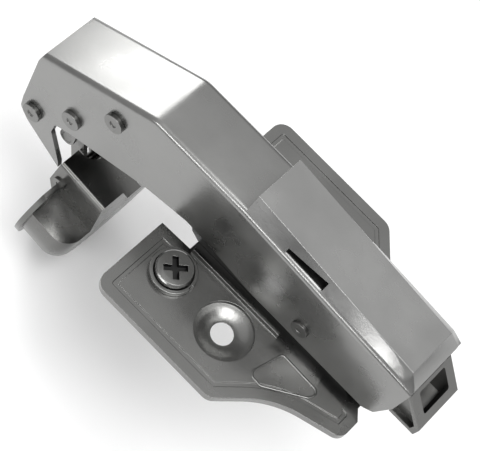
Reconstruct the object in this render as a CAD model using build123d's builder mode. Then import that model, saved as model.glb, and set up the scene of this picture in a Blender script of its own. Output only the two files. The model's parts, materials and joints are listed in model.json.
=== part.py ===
from build123d import *
import os
from math import atan2, cos, degrees, hypot, radians, sin

# Concealed cup hinge, clip-on, wide opening angle, drawn fully open.
# X runs back along the arm, Y across it, Z up from the cabinet panel. All sizes in mm.
# The origin is midway between the two panel screws, on the panel.

# ---- running fits and sheet ----
fit = 0.05              # radial play of a turning pin
seat = 0.02             # radial play of a riveted or pressed pin
slide_gap = 0.1         # play between sliding plates
side_gap = 0.3          # play beside a moving link
flat = 0.2              # depth of small stamped marks

# ---- widths across the hinge, one inside the other ----
arm_half = 7.7
arm_t = 1.2
channel_t = 1.0
link_t = 1.0
guide_set = 0.9         # guide link inside the outer link
channel_half = arm_half - arm_t - side_gap
carriage_half = channel_half - channel_t - side_gap
rail_half = channel_half - channel_t - slide_gap
tongue_half = channel_half - channel_t - 2 * slide_gap
lever_cheek_half = channel_half - channel_t - 2 * slide_gap
lever_half = arm_half - arm_t - 2 * slide_gap
outer_half = arm_half - arm_t - side_gap
guide_half = outer_half - link_t - guide_set
inner_half = guide_half - link_t - 2 * slide_gap
cup_sheet = 0.8
box_half = arm_half + cup_sheet + 2 * slide_gap
box_slot_half = inner_half + side_gap
cover_half = arm_half + side_gap

# ---- mounting base (screwed to the panel) ----
base_t = 1.0
base_front = -21.5
base_back = 8.0
base_half = 23.0
base_corner = 4.0
screw_pitch = 32.0
screw_hole_d = 4.85
dish_d = 11.3
dish_floor_d = 6.4
dish_depth = 0.8

# ---- wing plate ----
wing_t = 0.8
wing_half = 28.5
wing_corner = 3.0
tail_sweep = 22.0
tail_corner = 2.4
wing_waist = (16.4, 18.6)
wing_tail_half = 14.3
wing_rim = 0.9
dish_window_d = 12.6
groove_inset = 2.4
groove_w = 0.9
lip_t = 0.8
lip_h = 1.3
lip_front = -16.0
lip_back = 8.0
tongue_x = 29.2
tongue_h = 3.2
ledge_l = 2.2
ledge_t = 0.7

# ---- height cam (turns in the wing plate, works in a slot of the base) ----
cam_x = -15.4
cam_throw = 2.2
cam_swing = 50.0
cam_head_d = 8.12
cam_head_t = 2.6
cam_neck_d = 6.0
cam_stub_d = 3.4
collar_d = 10.08
collar_t = 1.3
collar_room = 1.26      # from the lip of the wing plate to the collar
cross_w = 1.3
cross_l = 5.0
cross_depth = 1.4

# ---- rails and hooks of the wing plate ----
wing_front = -24.3
wing_back = 31.0
groove_free = 9.6
rail_front = -13.0
rail_back = 19.0
rail_h = 3.6

# ---- clip channel (hooks on the wing plate) ----
channel_front = -20.0
channel_back = 28.0
channel_top = 15.0
channel_web_end = 25.0

# ---- depth carriage and its cam ----
carriage_t = 1.0
carriage_front = -9.5
carriage_back = 19.5
carriage_foot = 6.3
depth_cam_x = 3.5
depth_head_d = 7.0
depth_head_t = 2.2
depth_neck_d = 5.6
tilt_x = 10.2
tilt_z = 9.6
tilt_pin_d = 3.0
tilt_head_d = 4.0
tilt_head_t = 0.7
tilt_angle = 1.5
tilt_sway = 0.6

carriage_wall = -2.0

# ---- release lever (turns on a pin of the channel) ----
lever_x = 24.5
lever_z = 10.0
lever_t = 1.0
lever_window_half = 4.0
lever_top_x = 34.2
lever_top_z = 19.3
lever_back_x = 40.2
lever_bar_z = 11.8
lever_web_z = 9.0
lever_toe_z = 2.8
toe_top_z = 4.1
toe_reach = 3.5

# ---- side screw ----
side_x = -6.0
side_d = 4.0
side_neck_d = 2.6
side_foot_t = 0.9
side_top = 28.2

# ---- arm ----
arm_bend = 1.4
arm_knee_x = -35.9
arm_knee_z = 26.35
arm_nose_x = -63.2
arm_nose_z = 13.1
arm_back_x = 34.0
arm_back_z = 21.9
arm_crest_x = -12.0
arm_crest_z = 26.1
knee_bend = 6.0
nose_bend = 1.6
heel_bend = 1.2
belly_bend = 0.8
heel_top = (33.6, 13.0)
heel_low = (31.6, 6.4)
heel_foot = (29.4, 4.7)
belly_back = (-2.0, 5.0)
belly_hook = (-14.8, 6.8)
belly_front = (-20.7, 7.2)
belly_knee = (-31.2, 5.0)
throat_top = (-51.8, -2.4)
throat_mid = (-54.9, -4.0)
throat_low = (-55.1, -7.5)
finger_back = (-50.9, -15.0)
finger_tip = (-50.5, -16.7)
chin_low = (-61.3, -11.2)
chin = (-63.9, -8.6)
lip_low = (-64.1, -5.1)
lip_high = (-63.7, 10.6)

# ---- linkage pivots (side view, door open) ----
pin_d = 2.5
rivet_head_d = 4.6
rivet_head_t = 1.0
nose_pivot = (-60.6, -6.3)
outer_pivot = (-51.8, 3.5)
guide_pivot = (-43.2, 15.5)
cross_pivot = (-52.06, -7.02)
upper_pivot = (-49.77, 8.55)
link_w = 3.8
open_play = 0.1
strap_t = 0.9
outer_lug = 3.5
guide_strap_start = 3.2

# ---- springs ----
wire_d = 0.7
spring_turns = 6
closing_wire_d = 1.0
closing_turns = 5
closing_r = 1.95

# ---- cup ----
cup_tilt = 7.0
cup_x = -49.3
cup_z = -28.0
bowl_r = 16.6
bowl_depth = 11.9
bowl_round = 4.5
bowl_top = 4.0
flange_r = 17.8
flange_t = 1.2
flange_cut = 10.7
box_top = 15.2
box_proud = 2.2
box_length = 12.9
box_bend = 1.0
box_slot_end = 4.4
tab_half = 1.9
tab_l = 1.4
cup_pin_x = 0.0
cup_pin_t = 8.7
cup_head_d = 3.0
cup_head_t = 0.5

# ---- cover cap ----
cover_t = 0.9
cover_front = -11.9
cover_end = 31.2
cover_back = 33.9
cover_slope = 2.0        # how far the top edge stands in from the side
cover_top_front = 31.4
cover_top_back = 25.6
cover_skirt_front = 27.6
cover_skirt_back = 23.75
notch_front = -1.4
notch_back = 8.5
cover_notch_z = 27.8
clip_front = 14.0
clip_back = 18.0
clip_y = 4.6
clip_t = 0.8
clip_foot_z = 20.6
clip_root_z = 27.0

os.makedirs("parts", exist_ok=True)
side = Plane.XZ
wing_z = base_t + slide_gap
wing_top = wing_z + wing_t
cam_y = -(arm_half + side_gap + slide_gap + lip_t + collar_room + collar_d / 2)
cover_top_half = cover_half - cover_slope
clear = side_gap + fit
overlap = 0.3           # depth a spring leg runs into its coil


def hole(at, d):
    """Round hole in the open sketch."""
    with Locations(at):
        Circle(d / 2, mode=Mode.SUBTRACT)


def bar(p, q, w):
    """Flat bar with round ends between two pivots of the side view."""
    with Locations(((p[0] + q[0]) / 2, (p[1] + q[1]) / 2)):
        turn = degrees(atan2(q[1] - p[1], q[0] - p[0]))
        SlotCenterToCenter(hypot(q[0] - p[0], q[1] - p[1]), w, rotation=turn)


def along(p, q, s):
    """Point at s mm from p towards q."""
    run = hypot(q[0] - p[0], q[1] - p[1])
    return (p[0] + (q[0] - p[0]) * s / run, p[1] + (q[1] - p[1]) * s / run)


def pin_y(at, d, half):
    """Round pin across the hinge."""
    with Locations((at[0], 0, at[1])):
        Cylinder(d / 2, 2 * half, rotation=(90, 0, 0))


def heads(at, d, t, face):
    """Riveted heads with a staked centre on both ends of a pin."""
    for y in (face + t / 2, -face - t / 2):
        with Locations((at[0], y, at[1])):
            Cylinder(d / 2, t, rotation=(90, 0, 0))
    for y in (face + t, -face - t):
        with Locations((at[0], y, at[1])):
            Cylinder(d / 6, t / 2, rotation=(90, 0, 0), mode=Mode.SUBTRACT)


def corners(piece, points):
    """Edges across the hinge that pass through the given points of the side view."""
    across = piece.edges().filter_by(Axis.Y)
    return [e for e in across for p in points if hypot(e.center().X - p[0], e.center().Z - p[1]) < slide_gap]


def pin_hole(at, d):
    """Cross hole for a pin."""
    with Locations((at[0], 0, at[1])):
        Cylinder(d / 2, 6 * arm_half, rotation=(90, 0, 0), mode=Mode.SUBTRACT)


def strap(p, q, start, stop, offset, t, mode=Mode.ADD):
    """Folded web of a link, offset to the left of the line from p to q."""
    turn = atan2(q[1] - p[1], q[0] - p[0])
    a = along(p, q, (start + stop) / 2)
    with Locations((a[0] - offset * sin(turn), a[1] + offset * cos(turn))):
        Rectangle(stop - start, t, rotation=degrees(turn), mode=mode)


def cross_recess(x, y, z, width, length, depth):
    """Phillips recess cut down from height z."""
    with Locations((x, y, z)):
        Box(length, width, 2 * depth, rotation=(0, 0, 45), mode=Mode.SUBTRACT)
        Box(width, length, 2 * depth, rotation=(0, 0, 45), mode=Mode.SUBTRACT)


def save(part, name):
    """Label one piece and write it."""
    part.label = name
    export_step(part, f"parts/{name}.step")


# ---- mounting base ----
cam_travel = cam_throw * sin(radians(cam_swing))
cam_slip = 0.1
notch_half = 8.6 + wing_rim + cam_travel + side_gap
with BuildPart() as mounting_base:
    with BuildSketch(Plane.XY):
        with Locations(((base_front + base_back) / 2, 0)):
            RectangleRounded(base_back - base_front, 2 * base_half, base_corner)
        with Locations((base_front, 0)):
            Rectangle(2 * (lip_front + 2.0 - base_front), 2 * notch_half, mode=Mode.SUBTRACT)
        for y in (-screw_pitch / 2, screw_pitch / 2):
            hole((0, y), screw_hole_d)
        with Locations((cam_x + cam_throw * (1 + cos(radians(cam_swing))) / 2, cam_y)):
            reach = cam_throw * (1 - cos(radians(cam_swing)))
            SlotCenterToCenter(reach, cam_stub_d + 2 * (cam_slip + fit), mode=Mode.SUBTRACT)
    extrude(amount=base_t)
    for y in (-screw_pitch / 2, screw_pitch / 2):
        with Locations((0, y, base_t - dish_depth / 2)):
            Cone(dish_floor_d / 2, dish_d / 2, dish_depth, mode=Mode.SUBTRACT)
save(mounting_base.part, "mounting_base")

# ---- wing plate ----
with BuildSketch(Plane.XY) as wing_outline:
    with BuildLine():
        Polyline(
            (lip_front - 0.7, 8.6), (wing_front, 8.9), (wing_front, wing_half), (7.4, wing_half),
            wing_waist, (wing_back, wing_tail_half), (wing_back, 9.2), (wing_back - 1.8, 7.0),
            (wing_back - 1.8, -7.0), (wing_back, -9.2), (wing_back, -wing_tail_half),
            (wing_waist[0], -wing_waist[1]),
            (7.4, -wing_half), (wing_front, -wing_half), (wing_front, -8.9),
            (lip_front - 0.7, -8.6), close=True)
    make_face()
    outer_corners = [v for v in wing_outline.vertices() if abs(v.Y) > wing_half - 0.1]
    fillet(outer_corners, radius=wing_corner)
    waist = [v for v in wing_outline.vertices() if hypot(v.X - wing_waist[0], abs(v.Y) - wing_waist[1]) < fit]
    fillet(waist, radius=tail_sweep)
    tail = [v for v in wing_outline.vertices() if hypot(v.X - wing_back, abs(v.Y) - wing_tail_half) < fit]
    fillet(tail, radius=tail_corner)
with BuildSketch(Plane.XY) as wing_pocket:
    add(wing_outline.sketch)
    offset(amount=-wing_rim, mode=Mode.REPLACE)
with BuildSketch(Plane.XY.offset(wing_top - flat)) as wing_groove:
    add(wing_outline.sketch)
    offset(amount=-groove_inset, mode=Mode.REPLACE)
with BuildSketch(Plane.XY.offset(wing_top - flat)) as wing_groove_inner:
    add(wing_outline.sketch)
    offset(amount=-groove_inset - groove_w, mode=Mode.REPLACE)
with BuildPart() as wing_plate:
    add(wing_outline.sketch)
    extrude(amount=wing_top)
    add(wing_pocket.sketch)
    extrude(amount=wing_z, mode=Mode.SUBTRACT)
    with BuildSketch(Plane.XY.offset(wing_top - flat)):
        add(wing_groove.sketch)
        add(wing_groove_inner.sketch, mode=Mode.SUBTRACT)
        Rectangle(80, 2 * groove_free, mode=Mode.SUBTRACT)
    extrude(amount=flat * 2, mode=Mode.SUBTRACT)
    for y in (-screw_pitch / 2, screw_pitch / 2):
        with Locations((0, y, wing_z)):
            Cylinder(dish_window_d / 2, 4 * wing_t, mode=Mode.SUBTRACT)
    for s in (-1, 1):
        with BuildSketch(Plane.XY.offset(wing_top)):
            with Locations(((lip_front + lip_back) / 2, s * (arm_half + side_gap + slide_gap + lip_t / 2))):
                Rectangle(lip_back - lip_front, lip_t)
        extrude(amount=lip_h)
        with BuildSketch(Plane.XY.offset(wing_top)):
            with Locations(((rail_front + rail_back) / 2, s * (rail_half - channel_t / 2))):
                Rectangle(rail_back - rail_front, channel_t)
        extrude(amount=rail_h)
    with BuildSketch(side):
        with BuildLine():
            Polyline(
                (tongue_x, wing_top), (tongue_x, wing_top + tongue_h),
                (tongue_x - ledge_l, wing_top + tongue_h), (tongue_x - ledge_l, wing_top + tongue_h - ledge_t),
                (tongue_x - wing_t, wing_top + tongue_h - ledge_t), (tongue_x - wing_t, wing_top), close=True)
        make_face()
    extrude(amount=tongue_half, both=True)
    with Locations((cam_x, cam_y, wing_z)):
        Cylinder(cam_neck_d / 2 + fit, 4 * wing_t, mode=Mode.SUBTRACT)
save(wing_plate.part, "wing_plate")

# ---- height cam and its collar ----
with BuildPart() as height_cam:
    with BuildSketch(Plane.XY.offset(wing_top + flat / 2)):
        with Locations((cam_x, cam_y)):
            Circle(cam_head_d / 2)
    extrude(amount=cam_head_t)
    chamfer(height_cam.edges().group_by(Axis.Z)[-1], length=0.35)
    cross_recess(cam_x, cam_y, wing_top + flat / 2 + cam_head_t, cross_w, cross_l, cross_depth)
    with BuildSketch(Plane.XY.offset(base_t)):
        with Locations((cam_x, cam_y)):
            Circle(cam_neck_d / 2)
    extrude(amount=wing_top + flat - base_t)
    with BuildSketch(Plane.XY.offset(flat / 2)):
        with Locations((cam_x + cam_throw, cam_y)):
            Circle(cam_stub_d / 2)
    extrude(amount=base_t)
save(height_cam.part, "height_cam")

with BuildPart() as cam_collar:
    with BuildSketch(Plane.XY.offset(wing_top)):
        with Locations((cam_x, cam_y)):
            Circle(collar_d / 2)
            Circle(cam_head_d / 2 + slide_gap, mode=Mode.SUBTRACT)
        with Locations((cam_x + collar_d / 2, cam_y)):
            Rectangle(0.8, 0.8, mode=Mode.SUBTRACT)
    extrude(amount=collar_t)
save(cam_collar.part, "cam_collar")

# ---- clip channel ----
with BuildPart() as clip_channel:
    with BuildSketch(side):
        with BuildLine():
            Polyline(
                (channel_front + 3.2, wing_top + fit), (channel_back - 3.0, wing_top + fit),
                (channel_back, 6.0), (channel_back, channel_top), (channel_front + 8.0, channel_top),
                (channel_front + 1.6, 8.2), (channel_front, 5.6), (channel_front + 1.0, 3.4),
                close=True)
        make_face()
        hole((lever_x, lever_z), pin_d + 2 * seat)
        with Locations((tilt_x, tilt_z)):
            SlotCenterToCenter(2 * cam_travel, tilt_pin_d + 4 * fit, mode=Mode.SUBTRACT)
    extrude(amount=channel_half, both=True)
    web_edges = clip_channel.edges().filter_by(Axis.X).group_by(Axis.Z)[-1]
    fillet(web_edges, radius=1.2)
    with BuildSketch(side):
        with Locations(((channel_front + channel_back) / 2, channel_top / 2 - channel_t)):
            Rectangle(2 * (channel_back - channel_front), channel_top)
    extrude(amount=channel_half - channel_t, both=True, mode=Mode.SUBTRACT)
    with BuildSketch(Plane.XY.offset(channel_top - 2 * channel_t)):
        with Locations((side_x, 0)):
            SlotCenterToCenter(2 * cam_travel, side_d + 2 * clear)
        with Locations((depth_cam_x, 0)):
            Circle(depth_neck_d / 2 + fit)
        with Locations((channel_web_end + channel_top, 0)):
            Rectangle(2 * channel_top, 2 * (channel_half - channel_t))
    extrude(amount=4 * channel_t, mode=Mode.SUBTRACT)
save(clip_channel.part, "clip_channel")

# ---- depth carriage ----
web_z = channel_top - 2 * channel_t - 2 * side_gap
with BuildPart() as depth_carriage:
    with BuildSketch(side):
        with Locations(((carriage_wall + carriage_back) / 2, (carriage_foot + web_z + carriage_t) / 2)):
            RectangleRounded(carriage_back - carriage_wall, web_z + carriage_t - carriage_foot, 0.9)
        hole((tilt_x, tilt_z), tilt_pin_d + 2 * fit)
    extrude(amount=carriage_half, both=True)
    with BuildSketch(side):
        with Locations(((carriage_wall + carriage_back) / 2, web_z - 5.0)):
            Rectangle(2 * carriage_back, 10.0)
    extrude(amount=carriage_half - carriage_t, both=True, mode=Mode.SUBTRACT)
    with BuildSketch(Plane.XY.offset(web_z)):
        with Locations(((carriage_front + carriage_wall) / 2 + 1.0, 0)):
            Rectangle(carriage_wall - carriage_front + 2.0, 2 * (carriage_half - carriage_t))
    extrude(amount=carriage_t)
    with BuildSketch(Plane.XY.offset(web_z - fit)):
        with Locations((carriage_front, 0)):
            Rectangle(2 * (side_x - carriage_front), side_neck_d + 2 * fit)
        with Locations((side_x, 0)):
            Circle(side_neck_d / 2 + fit)
        with Locations((depth_cam_x, -cam_throw * (1 + cos(radians(cam_swing))) / 2)):
            reach = cam_throw * (1 - cos(radians(cam_swing)))
            SlotCenterToCenter(reach, cam_stub_d + 2 * (cam_slip + fit), rotation=90)
    extrude(amount=2 * carriage_t, mode=Mode.SUBTRACT)
save(depth_carriage.part, "depth_carriage")

with BuildPart() as depth_cam:
    with BuildSketch(Plane.XY.offset(channel_top + fit)):
        with Locations((depth_cam_x, 0)):
            Circle(depth_head_d / 2)
    extrude(amount=depth_head_t)
    chamfer(depth_cam.edges().group_by(Axis.Z)[-1], length=0.3)
    cross_recess(depth_cam_x, 0, channel_top + fit + depth_head_t, cross_w, cross_l - 0.6, cross_depth)
    with BuildSketch(Plane.XY.offset(web_z + carriage_t + fit)):
        with Locations((depth_cam_x, 0)):
            Circle(depth_neck_d / 2)
    extrude(amount=channel_top - web_z - carriage_t)
    with BuildSketch(Plane.XY.offset(web_z + fit)):
        with Locations((depth_cam_x, -cam_throw)):
            Circle(cam_stub_d / 2)
    extrude(amount=carriage_t + fit)
save(depth_cam.part, "depth_cam")

with BuildPart() as side_screw:
    with Locations((side_x, 0, web_z - slide_gap - side_foot_t / 2)):
        Cylinder(side_d / 2, side_foot_t)
    with Locations((side_x, 0, web_z + carriage_t / 2)):
        Cylinder(side_neck_d / 2, carriage_t + 4 * slide_gap)
    shank_z = web_z + carriage_t + slide_gap
    with Locations((side_x, 0, (shank_z + side_top) / 2)):
        Cylinder(side_d / 2, side_top - shank_z)
    chamfer(side_screw.edges().group_by(Axis.Z)[-1], length=0.3)
    cross_recess(side_x, 0, side_top, 0.9, 2.8, 1.2)
save(side_screw.part, "side_screw")

# ---- release lever, its pin and spring ----
with BuildPart() as release_lever:
    with BuildSketch(side):
        with BuildLine():
            Polyline(
                (lever_x - 2.4, lever_z - 1.6), (lever_x - 2.4, lever_z + 1.6), (lever_x + 0.6, lever_z + 3.2),
                (lever_top_x - 1.0, lever_top_z), (lever_top_x, lever_top_z), (lever_back_x, lever_bar_z),
                (lever_back_x - 0.3, lever_web_z), (lever_top_x - 0.8, lever_web_z), (lever_x + 5.0, 6.4),
                (lever_x + 2.2, 6.0), (lever_x + 2.2, toe_top_z), (lever_x + toe_reach, toe_top_z),
                (lever_x + toe_reach, lever_toe_z), (lever_x + 0.9, lever_toe_z), (lever_x + 0.9, 7.0),
                close=True)
        make_face()
        hole((lever_x, lever_z), pin_d + 2 * fit)
    extrude(amount=lever_cheek_half, both=True)
    with BuildSketch(side):
        Rectangle(200, 200)
    extrude(amount=lever_cheek_half - lever_t, both=True, mode=Mode.SUBTRACT)
    slope = atan2(lever_bar_z - lever_top_z, lever_back_x - lever_top_x)
    with BuildSketch(side):
        with BuildLine():
            Polyline(
                (lever_top_x, lever_top_z), (lever_back_x, lever_bar_z),
                (lever_back_x - 0.3, lever_web_z), (lever_top_x - 0.8, lever_web_z),
                (lever_top_x - 0.8, lever_web_z + lever_t),
                (lever_back_x - 1.6, lever_web_z + lever_t),
                (lever_back_x + lever_t * sin(slope) - 0.5, lever_bar_z - lever_t * cos(slope) + 0.5),
                (lever_top_x + lever_t * sin(slope), lever_top_z - lever_t * cos(slope)),
                close=True)
        make_face()
    extrude(amount=lever_half, both=True)
    window = Plane(
        origin=((lever_top_x + lever_back_x) / 2, 0, (lever_top_z + lever_bar_z) / 2),
        x_dir=(cos(slope), 0, sin(slope)), z_dir=(-sin(slope), 0, cos(slope)))
    with BuildSketch(window):
        with Locations((-0.7, 0)):
            RectangleRounded(hypot(lever_back_x - lever_top_x, lever_bar_z - lever_top_z) - 3.6,
                             2 * lever_window_half, 0.6)
    extrude(amount=lever_t + 0.4, both=True, mode=Mode.SUBTRACT)
save(release_lever.part, "release_lever")

with BuildPart() as lever_pin:
    pin_y((lever_x, lever_z), pin_d, channel_half)
save(lever_pin.part, "lever_pin")

coil_r = pin_d / 2 + wire_d / 2 + 2 * slide_gap
with BuildPart() as release_spring:
    with BuildSketch(Plane.XY) as release_coil:
        for k in range(spring_turns):
            with Locations((coil_r, (k - (spring_turns - 1) / 2) * wire_d * 0.94)):
                Circle(wire_d / 2)
    revolve(axis=Axis.Y)
    coil_half = (spring_turns - 1) / 2 * wire_d * 0.94
    rise = channel_top - channel_t - side_gap - lever_z
    with Locations((-coil_r, coil_half, (rise - overlap) / 2)):
        Cylinder(wire_d / 2 - overlap / 10, rise + overlap)
    foot_x = lever_top_x + 1.0 - lever_x
    foot_z = lever_web_z + lever_t + side_gap + wire_d / 2 - lever_z
    foot_run = hypot(foot_x, foot_z - coil_r)
    with Locations((foot_x / 2, -coil_half, (coil_r + foot_z) / 2)):
        Cylinder(wire_d / 2 - overlap / 10, foot_run, rotation=(0, 90 + degrees(atan2(coil_r - foot_z, foot_x)), 0))
save(release_spring.part.moved(Location((lever_x, 0, lever_z))), "release_spring")

# ---- arm ----
arm_top = [(arm_nose_x, arm_nose_z), (arm_knee_x, arm_knee_z), (arm_crest_x, arm_crest_z),
           (arm_back_x, arm_back_z)]
nose_slope = (arm_knee_z - arm_nose_z) / (arm_knee_x - arm_nose_x)
back_slope = (arm_crest_z - arm_back_z) / (arm_back_x - arm_crest_x)
with BuildPart() as hinge_arm:
    with BuildSketch(side):
        with BuildLine():
            Polyline(
                *arm_top, heel_top, heel_low, heel_foot, belly_back, belly_hook, belly_front, belly_knee,
                throat_top, throat_mid, throat_low, finger_back, finger_tip, chin_low, chin, lip_low,
                lip_high, close=True)
        make_face()
    extrude(amount=arm_half, both=True)
    fillet(corners(hinge_arm, arm_top[1:3]), radius=knee_bend)
    fillet(corners(hinge_arm, [chin]), radius=nose_bend)
    fillet(corners(hinge_arm, [heel_top, heel_low, heel_foot]), radius=heel_bend)
    fillet(corners(hinge_arm, [belly_front, belly_knee, throat_top, throat_mid, throat_low]), radius=belly_bend)
    crown = [e for e in hinge_arm.edges() if abs(abs(e.center().Y) - arm_half) < slide_gap
             and e.center().Z > (arm_nose_z + arm_crest_z) / 2 - arm_bend
             and e.center().X < (heel_top[0] + arm_back_x) / 2 - slide_gap and e.length > arm_bend]
    fillet(crown, radius=arm_bend)
    with BuildSketch(side):
        with BuildLine():
            Polyline(
                (arm_nose_x - 10, arm_nose_z - 10 * nose_slope - arm_t * hypot(1, nose_slope)),
                (arm_knee_x - 1.5, arm_knee_z - arm_t - 0.9), (arm_knee_x + 3.5, arm_crest_z - arm_t),
                (arm_crest_x, arm_crest_z - arm_t),
                (arm_back_x + 10, arm_back_z - arm_t - 10 * back_slope),
                (arm_back_x + 10, -40), (arm_nose_x - 10, -40), close=True)
        make_face()
    extrude(amount=arm_half - arm_t, both=True, mode=Mode.SUBTRACT)
    for at in (nose_pivot, outer_pivot, guide_pivot):
        pin_hole(at, pin_d + 2 * seat)
    pin_hole((tilt_x, tilt_z), tilt_pin_d + 2 * seat)
    with BuildSketch(Plane.XY.offset(arm_back_z)):
        with Locations((side_x, 0)):
            SlotCenterToCenter(2 * (cam_travel + tilt_sway), side_d + 2 * clear)
        with Locations((depth_cam_x, 0)):
            SlotCenterToCenter(2 * cam_travel, depth_head_d + 2 * clear)
        for y in (-clip_y, clip_y):
            with Locations(((clip_front + clip_back) / 2, y)):
                Rectangle(clip_back - clip_front + 2 * slide_gap, clip_t + 2 * slide_gap)
    extrude(amount=10, mode=Mode.SUBTRACT)
save(hinge_arm.part, "hinge_arm")

# ---- pins fixed in the arm ----
with BuildPart() as nose_rivets:
    for y in (-1, 1):
        with Locations((nose_pivot[0], y * (arm_half - arm_t / 2), nose_pivot[1])):
            Cylinder(pin_d / 2, arm_t, rotation=(90, 0, 0))
    heads(nose_pivot, rivet_head_d, rivet_head_t, arm_half)
save(nose_rivets.part, "nose_rivets")

with BuildPart() as link_rivets:
    for y in (-1, 1):
        with Locations((outer_pivot[0], y * (outer_half - link_t + arm_half) / 2, outer_pivot[1])):
            Cylinder(pin_d / 2, arm_half - outer_half + link_t, rotation=(90, 0, 0))
    heads(outer_pivot, rivet_head_d, rivet_head_t, arm_half)
save(link_rivets.part, "link_rivets")

with BuildPart() as guide_pin:
    pin_y(guide_pivot, pin_d, arm_half)
    heads(guide_pivot, rivet_head_d, rivet_head_t, arm_half)
save(guide_pin.part, "guide_pin")

with BuildPart() as tilt_pin:
    pin_y((tilt_x, tilt_z), tilt_pin_d, arm_half)
    heads((tilt_x, tilt_z), tilt_head_d, tilt_head_t, arm_half)
save(tilt_pin.part, "tilt_pin")

# ---- linkage ----
cos_tilt = cos(radians(cup_tilt))
sin_tilt = sin(radians(cup_tilt))
cup_pivot = (cup_x + cup_pin_x * cos_tilt + cup_pin_t * sin_tilt,
             cup_z - cup_pin_x * sin_tilt + cup_pin_t * cos_tilt)
outer_run = hypot(cross_pivot[0] - outer_pivot[0], cross_pivot[1] - outer_pivot[1])
lower_run = hypot(cup_pivot[0] - cross_pivot[0], cup_pivot[1] - cross_pivot[1])
upper_run = hypot(upper_pivot[0] - cross_pivot[0], upper_pivot[1] - cross_pivot[1])
guide_run = hypot(upper_pivot[0] - guide_pivot[0], upper_pivot[1] - guide_pivot[1])
strap_off = link_w / 2 - strap_t / 2
strap_end = pin_d / 2 + 1.05

with BuildPart() as outer_link:
    with BuildSketch(side):
        bar(outer_pivot, cross_pivot, link_w)
        strap(cross_pivot, outer_pivot, strap_end + 0.5, outer_run - 1.0, outer_lug / 2, outer_lug)
        hole(outer_pivot, pin_d + 2 * fit)
        hole(cross_pivot, pin_d + 2 * seat)
    extrude(amount=outer_half, both=True)
    with BuildSketch(side):
        Rectangle(400, 400)
        strap(cross_pivot, outer_pivot, strap_end + 0.5, outer_run - 1.0, outer_lug - strap_t / 2,
              strap_t, Mode.SUBTRACT)
    extrude(amount=outer_half - link_t, both=True, mode=Mode.SUBTRACT)
save(outer_link.part, "outer_link")

with BuildPart() as inner_link:
    with BuildSketch(side):
        bar(cross_pivot, cup_pivot, link_w)
        bar(cross_pivot, upper_pivot, link_w)
        hole(cup_pivot, pin_d + 2 * fit)
        hole(cross_pivot, pin_d + 2 * fit)
        hole(upper_pivot, pin_d + 2 * seat)
    extrude(amount=inner_half, both=True)
    with BuildSketch(side):
        Rectangle(400, 400)
        strap(cross_pivot, cup_pivot, strap_end, lower_run - strap_end, -strap_off, strap_t, Mode.SUBTRACT)
        strap(cross_pivot, upper_pivot, strap_end, upper_run - strap_end, strap_off, strap_t, Mode.SUBTRACT)
    extrude(amount=inner_half - link_t, both=True, mode=Mode.SUBTRACT)
save(inner_link.part, "inner_link")

with BuildPart() as guide_link:
    with BuildSketch(side):
        bar(guide_pivot, upper_pivot, link_w)
        hole(guide_pivot, pin_d + 2 * fit)
        hole(upper_pivot, pin_d + 2 * open_play)
    extrude(amount=guide_half, both=True)
    with BuildSketch(side):
        Rectangle(400, 400)
        strap(guide_pivot, upper_pivot, guide_strap_start, guide_run - link_w / 2 - side_gap - 0.5,
              fit + strap_t / 2 + closing_wire_d / 2 - closing_r, strap_t, Mode.SUBTRACT)
    extrude(amount=guide_half - link_t, both=True, mode=Mode.SUBTRACT)
save(guide_link.part, "guide_link")

with BuildPart() as cross_pin:
    pin_y(cross_pivot, pin_d, outer_half)
save(cross_pin.part, "cross_pin")

with BuildPart() as guide_link_pin:
    pin_y(upper_pivot, pin_d, guide_half + 0.1)
save(guide_link_pin.part, "guide_link_pin")

with BuildPart() as cup_pin:
    pin_y(cup_pivot, pin_d, box_half)
    heads(cup_pivot, cup_head_d, cup_head_t, box_half)
save(cup_pin.part, "cup_pin")

# ---- closing spring (wound round the guide pin) ----
with BuildPart() as closing_spring:
    with BuildSketch(Plane.XY):
        for k in range(closing_turns):
            with Locations((closing_r, (k - (closing_turns - 1) / 2) * closing_wire_d * 0.94)):
                Circle(closing_wire_d / 2)
    revolve(axis=Axis.Y)
    closing_half = (closing_turns - 1) / 2 * closing_wire_d * 0.94
    rise_x = guide_pivot[0] + closing_r - closing_wire_d / 2
    rise_z = arm_nose_z + (rise_x - arm_nose_x) * nose_slope - arm_t * hypot(1, nose_slope)
    rise = rise_z - side_gap - guide_pivot[1]
    with Locations((closing_r, closing_half, (rise - overlap) / 2)):
        Cylinder(closing_wire_d / 2 - overlap / 3, rise + overlap)
    guide_turn = atan2(upper_pivot[1] - guide_pivot[1], upper_pivot[0] - guide_pivot[0])
    leg = guide_run - link_w / 2 - side_gap - 0.9
    leg_x = (leg - overlap) / 2 * cos(guide_turn) + closing_r * sin(guide_turn)
    leg_z = (leg - overlap) / 2 * sin(guide_turn) - closing_r * cos(guide_turn)
    with Locations((leg_x, -closing_half, leg_z)):
        Cylinder(closing_wire_d / 2 - overlap / 3, leg, rotation=(0, 90 - degrees(guide_turn), 0))
save(closing_spring.part.moved(Location((guide_pivot[0], 0, guide_pivot[1]))), "closing_spring")

# ---- cup ----
cup_plane = Plane(origin=(cup_x, 0, cup_z), x_dir=(sin_tilt, 0, cos_tilt), z_dir=(cos_tilt, 0, -sin_tilt))
cup_side = Plane(origin=(cup_x, 0, cup_z), x_dir=(cos_tilt, 0, -sin_tilt), z_dir=(0, -1, 0))
cup_axis = Axis((cup_x, 0, cup_z), (cos_tilt, 0, -sin_tilt))
cup_rise = Axis((cup_x, 0, cup_z), (sin_tilt, 0, cos_tilt))


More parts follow.
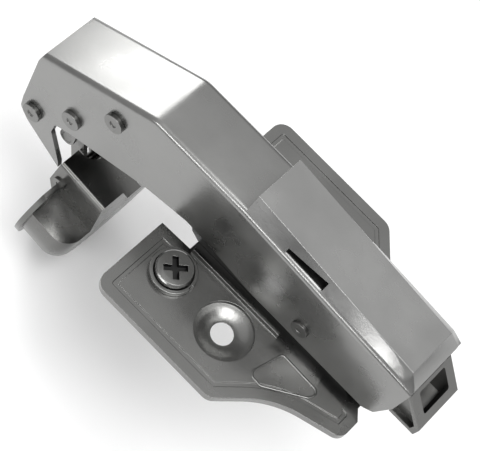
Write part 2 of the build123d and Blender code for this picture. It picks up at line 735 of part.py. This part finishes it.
def box_shape(inset):
    """Raised box of the cup, or its hollow when inset by the sheet."""
    with BuildPart() as box:
        with BuildSketch(cup_side):
            with BuildLine():
                Polyline(
                    (-box_proud - 6 * inset, box_top - inset),
                    (box_length - box_proud - inset, box_top - inset), (bowl_depth - inset, bowl_top),
                    (bowl_depth - inset, 0), (-6 * inset, 0), (-6 * inset, bowl_top - 1.0),
                    (-box_proud - 6 * inset, bowl_top + 2.5), close=True)
            make_face()
        extrude(amount=box_half - inset, both=True)
        crown = box.edges().group_by(cup_rise)[-1].filter_by(Axis.Y, reverse=True)
        fillet(crown, radius=box_bend - inset / 2)
    return box.part


def bowl_shape(inset):
    """Round bowl of the cup, or its hollow when inset by the sheet."""
    with BuildPart() as bowl:
        with BuildSketch(cup_plane.offset(-2 * inset)):
            Circle(bowl_r - inset)
        extrude(amount=bowl_depth + inset)
        rims = bowl.edges().filter_by(GeomType.CIRCLE).sort_by(cup_axis)
        fillet(rims[-1], radius=bowl_round - inset)
        with BuildSketch(cup_side):
            with Locations((0, bowl_top - inset + 2 * bowl_r)):
                Rectangle(8 * bowl_r, 4 * bowl_r)
        extrude(amount=2 * bowl_r, both=True, mode=Mode.SUBTRACT)
    return bowl.part


with BuildPart() as hinge_cup:
    with BuildSketch(cup_plane):
        Circle(flange_r)
        with Locations((flange_cut + flange_r, 0)):
            Rectangle(2 * flange_r, 4 * flange_r, mode=Mode.SUBTRACT)
    extrude(amount=flange_t)
    add(bowl_shape(0))
    add(box_shape(0))
    with BuildSketch(cup_side):
        with Locations((box_length - box_proud, box_top - cup_sheet / 2)):
            Rectangle(2 * tab_l, cup_sheet)
    extrude(amount=tab_half, both=True)
    add(bowl_shape(cup_sheet), mode=Mode.SUBTRACT)
    add(box_shape(cup_sheet), mode=Mode.SUBTRACT)
    with BuildSketch(cup_plane.offset(-flange_t)):
        Circle(bowl_r - cup_sheet)
        with Locations((bowl_top - cup_sheet + 2 * bowl_r, 0)):
            Rectangle(4 * bowl_r, 8 * bowl_r, mode=Mode.SUBTRACT)
    extrude(amount=3 * flange_t, mode=Mode.SUBTRACT)
    with BuildSketch(cup_plane.offset(-2 * box_proud)):
        with Locations((box_top, 0)):
            Rectangle(4 * cup_sheet, 2 * box_slot_half)
    extrude(amount=box_proud + box_slot_end - box_slot_half, mode=Mode.SUBTRACT)
    with BuildSketch(Plane(origin=(cup_x + box_top * sin_tilt, 0, cup_z + box_top * cos_tilt),
                           x_dir=(cos_tilt, 0, -sin_tilt), z_dir=(sin_tilt, 0, cos_tilt))):
        with Locations((box_slot_end - box_proud - box_slot_half, 0)):
            Circle(box_slot_half)
    extrude(amount=2 * cup_sheet, both=True, mode=Mode.SUBTRACT)
    with Locations((cup_pivot[0], 0, cup_pivot[1])):
        Cylinder(pin_d / 2 + seat, 2 * box_half, rotation=(90, 0, 0), mode=Mode.SUBTRACT)
    for y in (-1, 1):
        with Locations((cup_pivot[0], y * (box_half + cup_head_t), cup_pivot[1])):
            Cylinder(cup_head_d / 2 + slide_gap, 2 * cup_head_t, rotation=(90, 0, 0), mode=Mode.SUBTRACT)
save(hinge_cup.part, "hinge_cup")

# ---- cover cap ----
def cover_section(x, bottom, wide, skirt, half, top, rim):
    """Section of the cover across the arm."""
    with BuildSketch(Plane.YZ.offset(x)) as section:
        with BuildLine():
            Polyline((-bottom, rim), (-wide, skirt), (-half, top), (half, top), (wide, skirt),
                     (bottom, rim), close=True)
        make_face()
    return section.sketch


rim_front = arm_crest_z + seat
rim_back = arm_back_z + (arm_back_x - cover_end) * back_slope + seat
rim_tail = arm_back_z + seat
foot = cover_half - 1.1
with BuildPart() as cover_tail:
    add(cover_section(cover_end, foot, cover_half, cover_skirt_back, cover_top_half, cover_top_back, rim_back))
    add(cover_section(cover_back, foot, cover_half, rim_tail + 0.3, foot, rim_tail + 0.6, rim_tail))
    loft(ruled=True)
with BuildPart() as cover_hollow:
    add(cover_section(cover_front + cover_t, foot - cover_t + 0.2, cover_half - cover_t, cover_skirt_front,
                      cover_top_half - cover_t / 2, cover_top_front - cover_t, rim_front - 2.0))
    add(cover_section(cover_end - cover_t, foot - cover_t + 0.2, cover_half - cover_t, cover_skirt_back,
                      cover_top_half - cover_t / 2, cover_top_back - cover_t, rim_back - 2.0))
    loft(ruled=True)
with BuildPart() as cover_cap:
    add(cover_section(cover_front, foot, cover_half, cover_skirt_front, cover_top_half, cover_top_front, rim_front))
    add(cover_section(cover_end, foot, cover_half, cover_skirt_back, cover_top_half, cover_top_back, rim_back))
    loft(ruled=True)
    ridge = cover_cap.edges().group_by(Axis.Z)[-1]
    add(cover_tail.part)
    add(cover_hollow.part, mode=Mode.SUBTRACT)
    with BuildSketch(side):
        with Locations(((notch_front + notch_back) / 2, cover_notch_z - 5.0)):
            Rectangle(notch_back - notch_front, 10.0)
    extrude(amount=2 * cover_half, both=True, mode=Mode.SUBTRACT)
    for y in (-clip_y, clip_y):
        with Locations(((clip_front + clip_back) / 2, y, (clip_foot_z + clip_root_z) / 2)):
            Box(clip_back - clip_front, clip_t, clip_root_z - clip_foot_z)
save(cover_cap.part, "cover_cap")
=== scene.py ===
import math

import bmesh
import bpy
from mathutils import Matrix, Quaternion, Vector
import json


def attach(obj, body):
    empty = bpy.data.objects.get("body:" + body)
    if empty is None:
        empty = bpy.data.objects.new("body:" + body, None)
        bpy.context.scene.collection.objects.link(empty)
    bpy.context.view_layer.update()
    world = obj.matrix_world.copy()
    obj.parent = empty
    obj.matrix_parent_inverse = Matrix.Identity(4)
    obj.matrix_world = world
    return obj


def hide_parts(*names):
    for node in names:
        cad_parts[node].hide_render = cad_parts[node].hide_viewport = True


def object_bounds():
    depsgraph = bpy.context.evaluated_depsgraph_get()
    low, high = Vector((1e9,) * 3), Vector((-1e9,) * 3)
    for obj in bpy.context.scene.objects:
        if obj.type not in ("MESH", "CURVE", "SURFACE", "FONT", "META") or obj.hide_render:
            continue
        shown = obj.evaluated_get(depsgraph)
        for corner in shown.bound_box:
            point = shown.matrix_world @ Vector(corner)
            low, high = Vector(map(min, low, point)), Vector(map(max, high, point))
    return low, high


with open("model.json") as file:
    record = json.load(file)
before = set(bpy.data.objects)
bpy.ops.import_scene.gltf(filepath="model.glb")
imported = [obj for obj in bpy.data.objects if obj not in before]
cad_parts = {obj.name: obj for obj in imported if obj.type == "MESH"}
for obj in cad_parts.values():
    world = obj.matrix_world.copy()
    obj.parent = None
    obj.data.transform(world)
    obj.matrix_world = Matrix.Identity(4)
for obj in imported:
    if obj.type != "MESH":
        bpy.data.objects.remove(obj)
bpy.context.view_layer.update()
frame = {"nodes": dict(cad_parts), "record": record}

MM = 0.001
BODY_OF = {node: body for body, nodes in frame["record"]["behaviour"]["bodies"].items() for node in nodes}

# ---- pressed pieces: meshing, in mm and degrees ----
WELD_GAP = 0.004
FLAT_ANGLE = 0.15
EDGE_ANGLE = 28
EDGE_STEPS = 3
SHARP_ANGLE = 35

# ---- height cam: the recess painted darker as shade, in mm ----
CAM_MIDDLE = (-15.4, -15.2)
RECESS_REACH = 2.7
RECESS_LOW = 2.5
RECESS_HIGH = 4.5

# ---- springs, in mm, with side view points as (x, z) ----
COIL_PITCH = 0.94               # share of the wire's width from turn to turn
COIL_STEPS = 28
WIRE_SIDES = 14
TIP_RINGS = 8
GUIDE_PIVOT = (-43.2, 15.5)
UPPER_PIVOT = (-49.77, 8.55)
CLOSING_WIRE = 1.0
CLOSING_RADIUS = 1.95
CLOSING_TURNS = 4
CLOSING_SIDE = 1.95
CLOSING_LEG = 6.2
CLOSING_LEG_TOP = 21.6
LEVER_PIVOT = (24.5, 10.0)
RELEASE_WIRE = 0.7
RELEASE_RADIUS = 1.8
RELEASE_TURNS = 5
RELEASE_SIDE = 1.64
RELEASE_LEG_TOP = 13.3
RELEASE_FOOT = (35.0, 10.7)

# ---- bead round the panel of each wing, in mm, with points as (x, y) ----
PANEL = ((9.3, 18.6), (11.2, 10.5), (21.8, 10.8), (20.9, 13.2), (12.6, 18.8))
PLATE_TOP = 1.9
BEAD_RADIUS = 0.28
BEAD_SUNK = 0.45                # share of the radius below the plate's top
BEAD_CORNER = 1.1
BEAD_CORNER_STEPS = 8
BEAD_SIDES = 12

# ---- studio ----
FLOOR_DROP = 1.0                # mm below the lowest point
FLOOR_REACH = 3.0               # m
PAPER_WHITE = 0.93
PAPER_ROUGH = 0.9
AIR_HEIGHTS = (0.05, 0.95)
AIR_STRENGTHS = (0.28, 0.95)
CAMERA_PLACE = (0.01932, -0.16514, 0.30414)
CAMERA_VIEW = (-0.09438, 0.48436, -0.86977)
CAMERA_ROLL = 35.547
CAMERA_LENS = 128.75
CAMERA_SENSOR = 36.0
CAMERA_NEAR = 0.01
CAMERA_FAR = 20.0


# ---- helpers ----
def placed(name, data):
    """New object for a mesh, lamp or camera, linked to the scene."""
    thing = bpy.data.objects.new(name, data)
    bpy.context.scene.collection.objects.link(thing)
    return thing


def smooth(mesh):
    """Smooth shading on every face."""
    for face in mesh.polygons:
        face.use_smooth = True


def map_range(tree, source, target):
    """Node that maps one range onto another, each given as its low and high end."""
    node = tree.nodes.new("ShaderNodeMapRange")
    for label, value in zip(("From Min", "From Max", "To Min", "To Max"), (*source, *target)):
        node.inputs[label].default_value = value
    return node


def noise(tree, scale, detail):
    """Noise node of a given scale."""
    node = tree.nodes.new("ShaderNodeTexNoise")
    node.inputs["Scale"].default_value = scale
    node.inputs["Detail"].default_value = detail
    return node


# ---- finishes ----
NOISE_MIDDLE = (0.3, 0.7)
TINT_SPREAD = (0.93, 1.05)
CLOUD_SCALE = 90.0
CLOUD_DETAIL = 5.0
FINE_SCALE = 1400.0
FINE_DETAIL = 3.0
GRAIN_DEPTH = 0.00005


def nickel_finish(name, colour, rough, spread, grain):
    """Plated pressed steel: soft cloudy sheen and fine grain."""
    mat = bpy.data.materials.new(name)
    mat.use_nodes = True
    tree = mat.node_tree
    shader = tree.nodes["Principled BSDF"]
    shader.inputs["Metallic"].default_value = 1.0
    place = tree.nodes.new("ShaderNodeTexCoord")
    cloud = noise(tree, CLOUD_SCALE, CLOUD_DETAIL)
    fine = noise(tree, FINE_SCALE, FINE_DETAIL)
    tint = map_range(tree, NOISE_MIDDLE, TINT_SPREAD)
    gloss = map_range(tree, NOISE_MIDDLE, (rough - spread, rough + spread))
    shade = tree.nodes.new("ShaderNodeMix")
    shade.data_type = "RGBA"
    shade.blend_type = "MULTIPLY"
    shade.inputs["Factor"].default_value = 1.0
    shade.inputs["A"].default_value = (*colour, 1.0)
    bump = tree.nodes.new("ShaderNodeBump")
    bump.inputs["Strength"].default_value = grain
    bump.inputs["Distance"].default_value = GRAIN_DEPTH
    link = tree.links.new
    link(place.outputs["Object"], cloud.inputs["Vector"])
    link(place.outputs["Object"], fine.inputs["Vector"])
    link(cloud.outputs["Fac"], tint.inputs["Value"])
    link(tint.outputs["Result"], shade.inputs["B"])
    link(shade.outputs["Result"], shader.inputs["Base Color"])
    link(cloud.outputs["Fac"], gloss.inputs["Value"])
    link(gloss.outputs["Result"], shader.inputs["Roughness"])
    link(fine.outputs["Fac"], bump.inputs["Height"])
    link(bump.outputs["Normal"], shader.inputs["Normal"])
    return mat


arm_nickel = nickel_finish("arm_nickel", colour=(0.27, 0.27, 0.265), rough=0.29, spread=0.06, grain=0.22)
plate_nickel = nickel_finish("plate_nickel", colour=(0.21, 0.21, 0.205), rough=0.25, spread=0.06, grain=0.16)
cover_nickel = nickel_finish("cover_nickel", colour=(0.34, 0.34, 0.335), rough=0.25, spread=0.05, grain=0.14)
cup_nickel = nickel_finish("cup_nickel", colour=(0.17, 0.17, 0.165), rough=0.27, spread=0.06, grain=0.14)
dark_nickel = nickel_finish("dark_nickel", colour=(0.10, 0.10, 0.10), rough=0.36, spread=0.06, grain=0.20)
screw_nickel = nickel_finish("screw_nickel", colour=(0.22, 0.22, 0.215), rough=0.24, spread=0.05, grain=0.10)
pin_nickel = nickel_finish("pin_nickel", colour=(0.20, 0.20, 0.195), rough=0.28, spread=0.05, grain=0.12)
spring_wire = nickel_finish("spring_wire", colour=(0.13, 0.13, 0.135), rough=0.30, spread=0.05, grain=0.10)
lever_nickel = nickel_finish("lever_nickel", colour=(0.16, 0.16, 0.155), rough=0.30, spread=0.06, grain=0.16)
# painted shade: near-black finish for the height cam's recess, standing in for the shade there
painted_recess_shade = nickel_finish("painted_recess_shade", colour=(0.045, 0.045, 0.045), rough=0.45, spread=0.08,
                             grain=0.30)

# each node's finish and the width of its broken edges in mm
FINISH = {
    "mounting_base": (plate_nickel, 0.12),
    "wing_plate": (plate_nickel, 0.28),
    "cam_collar": (screw_nickel, 0.18),
    "height_cam": (screw_nickel, 0.14),
    "clip_channel": (dark_nickel, 0.15),
    "depth_carriage": (dark_nickel, 0.12),
    "depth_cam": (screw_nickel, 0.14),
    "side_screw": (screw_nickel, 0.12),
    "release_lever": (lever_nickel, 0.24),
    "lever_pin": (pin_nickel, 0.10),
    "hinge_arm": (arm_nickel, 0.30),
    "nose_rivets": (pin_nickel, 0.22),
    "link_rivets": (pin_nickel, 0.22),
    "guide_pin": (pin_nickel, 0.22),
    "tilt_pin": (pin_nickel, 0.16),
    "outer_link": (plate_nickel, 0.14),
    "inner_link": (plate_nickel, 0.14),
    "guide_link": (plate_nickel, 0.14),
    "cross_pin": (pin_nickel, 0.12),
    "guide_link_pin": (pin_nickel, 0.12),
    "cup_pin": (pin_nickel, 0.14),
    "hinge_cup": (cup_nickel, 0.30),
    "cover_cap": (cover_nickel, 0.42),
}


# ---- pressed, turned and riveted pieces ----
def pressed_piece(node):
    """The node's own shape with its edges broken, as after plating."""
    finish, edge = FINISH[node]
    mesh = frame["nodes"][node].data.copy()
    mesh.name = "pressed_" + node
    work = bmesh.new()
    work.from_mesh(mesh)
    bmesh.ops.remove_doubles(work, verts=work.verts, dist=WELD_GAP * MM)
    bmesh.ops.dissolve_limit(work, angle_limit=math.radians(FLAT_ANGLE), verts=work.verts, edges=work.edges,
                             delimit={"NORMAL"})
    work.to_mesh(mesh)
    work.free()
    mesh.materials.clear()
    mesh.materials.append(finish)
    piece = placed("pressed_" + node, mesh)
    bevel = piece.modifiers.new("broken_edge", "BEVEL")
    bevel.width = edge * MM
    bevel.segments = EDGE_STEPS
    bevel.limit_method = "ANGLE"
    bevel.angle_limit = math.radians(EDGE_ANGLE)
    bevel.use_clamp_overlap = True
    bevel.harden_normals = True
    smooth(mesh)
    mesh.set_sharp_from_angle(angle=math.radians(SHARP_ANGLE))
    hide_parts(node)
    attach(piece, BODY_OF[node])
    return piece


def darken_hollow(piece, middle, reach, low, high):
    """Faces inside a short upright cylinder get the near-black finish, painted shade where shade falls in a
    recess.
    """
    piece.data.materials.append(painted_recess_shade)
    for face in piece.data.polygons:
        away = math.hypot(face.center.x - middle[0] * MM, face.center.y - middle[1] * MM)
        if away < reach * MM and low * MM < face.center.z < high * MM:
            face.material_index = 1


PIECE = {node_name: pressed_piece(node_name) for node_name in FINISH}
# painted shade laid on the faces of the height cam's recess
darken_hollow(PIECE["height_cam"], CAM_MIDDLE, RECESS_REACH, RECESS_LOW, RECESS_HIGH)


# ---- shapes grown by node trees ----
def shape_tree(name, inputs):
    """Empty tree and the node of its inputs, which are given as pairs of label and kind."""
    tree = bpy.data.node_groups.new(name, "GeometryNodeTree")
    tree.interface.new_socket("Geometry", in_out="OUTPUT", socket_type="NodeSocketGeometry")
    for label, kind in inputs:
        tree.interface.new_socket(label, in_out="INPUT", socket_type="NodeSocket" + kind)
    return tree, tree.nodes.new("NodeGroupInput")


def swept_rod(tree, given, path, radius, sides):
    """Round rod along a path, in the given finish, as the tree's result."""
    section = tree.nodes.new("GeometryNodeCurvePrimitiveCircle")
    section.inputs["Resolution"].default_value = sides
    sweep = tree.nodes.new("GeometryNodeCurveToMesh")
    real = tree.nodes.new("GeometryNodeRealizeInstances")
    finish = tree.nodes.new("GeometryNodeSetMaterial")
    made = tree.nodes.new("NodeGroupOutput")
    link = tree.links.new
    link(given.outputs[radius], section.inputs["Radius"])
    link(path.outputs["Curve"], sweep.inputs["Curve"])
    link(section.outputs["Curve"], sweep.inputs["Profile Curve"])
    link(sweep.outputs["Mesh"], real.inputs["Geometry"])
    link(real.outputs["Geometry"], finish.inputs["Geometry"])
    link(given.outputs["Finish"], finish.inputs["Material"])
    link(finish.outputs["Geometry"], made.inputs["Geometry"])
    return sweep


def coil_tree():
    """Wire wound on a straight axis, with named inputs for its sizes."""
    tree, given = shape_tree("wound_wire", (("Radius", "Float"), ("Wire", "Float"), ("Height", "Float"),
                                            ("Turns", "Float"), ("Finish", "Material")))
    spiral = tree.nodes.new("GeometryNodeCurveSpiral")
    spiral.inputs["Resolution"].default_value = COIL_STEPS
    tree.links.new(given.outputs["Turns"], spiral.inputs["Rotations"])
    tree.links.new(given.outputs["Radius"], spiral.inputs["Start Radius"])
    tree.links.new(given.outputs["Radius"], spiral.inputs["End Radius"])
    tree.links.new(given.outputs["Height"], spiral.inputs["Height"])
    wire = swept_rod(tree, given, spiral, "Wire", WIRE_SIDES)
    wire.inputs["Fill Caps"].default_value = True
    return tree


def bead_tree():
    """Half-sunk round bead that follows a closed outline, with a named radius."""
    tree, given = shape_tree("pressed_bead", (("Outline", "Object"), ("Radius", "Float"), ("Corner", "Float"),
                                              ("Finish", "Material")))
    fetch = tree.nodes.new("GeometryNodeObjectInfo")
    fetch.transform_space = "ORIGINAL"
    path = tree.nodes.new("GeometryNodeMeshToCurve")
    soften = tree.nodes.new("GeometryNodeFilletCurve")
    soften.mode = "POLY"
    soften.inputs["Count"].default_value = BEAD_CORNER_STEPS
    tree.links.new(given.outputs["Outline"], fetch.inputs["Object"])
    tree.links.new(fetch.outputs["Geometry"], path.inputs["Mesh"])
    tree.links.new(path.outputs["Curve"], soften.inputs["Curve"])
    tree.links.new(given.outputs["Corner"], soften.inputs["Radius"])
    swept_rod(tree, given, soften, "Radius", BEAD_SIDES)
    return tree


def grown(tree, values, name, place):
    """Plain mesh made by a node tree, set in its place."""
    holder = placed("holder", bpy.data.meshes.new("holder"))
    grow = holder.modifiers.new("grow", "NODES")
    grow.node_group = tree
    for item in tree.interface.items_tree:
        if item.in_out == "INPUT":
            grow[item.identifier] = values[item.name]
    bpy.context.view_layer.update()
    seen = holder.evaluated_get(bpy.context.evaluated_depsgraph_get())
    mesh = bpy.data.meshes.new_from_object(seen)
    bpy.data.objects.remove(holder)
    mesh.name = name
    mesh.transform(place)
    smooth(mesh)
    return mesh


# ---- wound springs ----
def straight_wire(work, start, end, radius):
    """Straight leg of a spring between two points, added to the mesh."""
    run = Vector(end) - Vector(start)
    lean = run.to_track_quat("Z", "Y").to_matrix().to_4x4()
    spot = Matrix.Translation((Vector(start) + Vector(end)) / 2)
    bmesh.ops.create_cone(work, cap_ends=True, segments=WIRE_SIDES, radius1=radius, radius2=radius,
                          depth=run.length, matrix=spot @ lean)
    for tip in (start, end):
        bmesh.ops.create_uvsphere(work, u_segments=WIRE_SIDES, v_segments=TIP_RINGS, radius=radius,
                                  matrix=Matrix.Translation(Vector(tip)))


def wound_spring(node, pivot, radius, wire, turns, legs):
    """Torsion spring round a pin: the wound coil and its straight legs."""
    half = (turns / 2) * wire * COIL_PITCH
    place = (Matrix.Translation((pivot[0] * MM, half * MM, pivot[1] * MM))
             @ Matrix.Rotation(math.radians(90), 4, "X"))
    mesh = grown(coils, {"Radius": radius * MM, "Wire": wire / 2 * MM, "Height": 2 * half * MM,
                         "Turns": float(turns), "Finish": spring_wire}, "wound_" + node, place)
    work = bmesh.new()
    work.from_mesh(mesh)
    for start, end in legs:
        straight_wire(work, [v * MM for v in start], [v * MM for v in end], wire / 2 * MM)
    work.to_mesh(mesh)
    work.free()
    smooth(mesh)
    for face in mesh.polygons:
        face.material_index = 0
    piece = placed("wound_" + node, mesh)
    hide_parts(node)
    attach(piece, BODY_OF[node])
    return piece


def closing_legs():
    """One leg up to the arm's web, and one along the guide link."""
    x, z = GUIDE_PIVOT
    lean = math.atan2(UPPER_PIVOT[1] - z, UPPER_PIVOT[0] - x)
    root = (x + CLOSING_RADIUS * math.sin(lean), -CLOSING_SIDE, z - CLOSING_RADIUS * math.cos(lean))
    tip = (root[0] + CLOSING_LEG * math.cos(lean), -CLOSING_SIDE, root[2] + CLOSING_LEG * math.sin(lean))
    side_x = x + CLOSING_RADIUS
    return [((side_x, CLOSING_SIDE, z), (side_x, CLOSING_SIDE, CLOSING_LEG_TOP)), (root, tip)]


def release_legs():
    """One leg up to the channel's web, and one along the lever's web."""
    x, z = LEVER_PIVOT
    side_x = x - RELEASE_RADIUS
    foot_x, foot_z = RELEASE_FOOT
    return [((side_x, RELEASE_SIDE, z), (side_x, RELEASE_SIDE, RELEASE_LEG_TOP)),
            ((x, -RELEASE_SIDE, z + RELEASE_RADIUS), (foot_x, -RELEASE_SIDE, foot_z))]


coils = coil_tree()
wound_spring("closing_spring", GUIDE_PIVOT, CLOSING_RADIUS, CLOSING_WIRE, CLOSING_TURNS, closing_legs())
wound_spring("release_spring", LEVER_PIVOT, RELEASE_RADIUS, RELEASE_WIRE, RELEASE_TURNS, release_legs())


# ---- pressed bead round the triangular panel of each wing ----
def panel_bead(tree, hand):
    """Bead round the panel of one wing, with the hand -1 or 1 for its side."""
    outline = bpy.data.meshes.new("outline")
    spots = [(x * MM, hand * y * MM, 0.0) for x, y in PANEL]
    outline.from_pydata(spots, [(k, (k + 1) % len(spots)) for k in range(len(spots))], [])
    guide = placed("outline", outline)
    name = "panel_bead_near" if hand < 0 else "panel_bead_far"
    values = {"Outline": guide, "Radius": BEAD_RADIUS * MM, "Corner": BEAD_CORNER * MM,
              "Finish": plate_nickel}
    place = Matrix.Translation((0, 0, (PLATE_TOP - BEAD_RADIUS * BEAD_SUNK) * MM))
    mesh = grown(tree, values, name, place)
    bpy.data.objects.remove(guide)
    piece = placed(name, mesh)
    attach(piece, BODY_OF["wing_plate"])


beads = bead_tree()
for wing_hand in (-1, 1):
    panel_bead(beads, wing_hand)


# ---- floor ----
def studio_floor(height):
    """Matt white floor at a height in metres."""
    mesh = bpy.data.meshes.new("studio_floor")
    work = bmesh.new()
    bmesh.ops.create_grid(work, x_segments=1, y_segments=1, size=FLOOR_REACH,
                          matrix=Matrix.Translation((0, 0, height)))
    work.to_mesh(mesh)
    work.free()
    paper = bpy.data.materials.new("white_paper")
    paper.use_nodes = True
    shader = paper.node_tree.nodes["Principled BSDF"]
    shader.inputs["Base Color"].default_value = (PAPER_WHITE, PAPER_WHITE, PAPER_WHITE, 1.0)
    shader.inputs["Roughness"].default_value = PAPER_ROUGH
    mesh.materials.append(paper)
    return placed("studio_floor", mesh)


floor = studio_floor(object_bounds()[0].z - FLOOR_DROP * MM)


# ---- light ----
def studio_air():
    """White surroundings that get brighter with height."""
    world = bpy.data.worlds.new("studio_air")
    bpy.context.scene.world = world
    world.use_nodes = True
    air = world.node_tree
    back = air.nodes["Background"]
    back.inputs["Color"].default_value = (1.0, 1.0, 1.0, 1.0)
    around = air.nodes.new("ShaderNodeTexCoord")
    height = air.nodes.new("ShaderNodeSeparateXYZ")
    sky = map_range(air, AIR_HEIGHTS, AIR_STRENGTHS)
    air.links.new(around.outputs["Generated"], height.inputs["Vector"])
    air.links.new(height.outputs["Z"], sky.inputs["Value"])
    air.links.new(sky.outputs["Result"], back.inputs["Strength"])


def soft_lamp(name, place, aim, size, power, length=None):
    """Soft box pointed at the hinge, square unless a length is given."""
    data = bpy.data.lights.new(name, "AREA")
    data.shape = "RECTANGLE"
    data.size = length or size
    data.size_y = size
    data.energy = power
    lamp = placed(name, data)
    lamp.location = place
    lamp.rotation_mode = "QUATERNION"
    lamp.rotation_quaternion = (Vector(aim) - Vector(place)).to_track_quat("-Z", "Y")


studio_air()
soft_lamp("key_box", place=(-0.46, 0.28, 0.26), aim=(-0.04, 0, 0.01), size=0.24, power=0.95)
soft_lamp("top_box", place=(0.20, -0.10, 0.75), aim=(-0.01, 0, 0), size=0.40, power=2.8)
soft_lamp("edge_strip", place=(-0.12, -0.52, 0.30), aim=(-0.01, 0, 0.01), size=0.07, power=1.1, length=0.50)

# ---- camera ----
camera = bpy.data.cameras.new("camera")
camera.lens = CAMERA_LENS
camera.sensor_width = CAMERA_SENSOR
camera.clip_start = CAMERA_NEAR
camera.clip_end = CAMERA_FAR
eye = placed("camera", camera)
eye.location = CAMERA_PLACE
eye.rotation_mode = "QUATERNION"
eye.rotation_quaternion = (Vector(CAMERA_VIEW).to_track_quat("-Z", "Y")
                           @ Quaternion((0, 0, 1), math.radians(CAMERA_ROLL)))
bpy.context.scene.camera = eye
bpy.context.scene.view_settings.view_transform = "Standard"
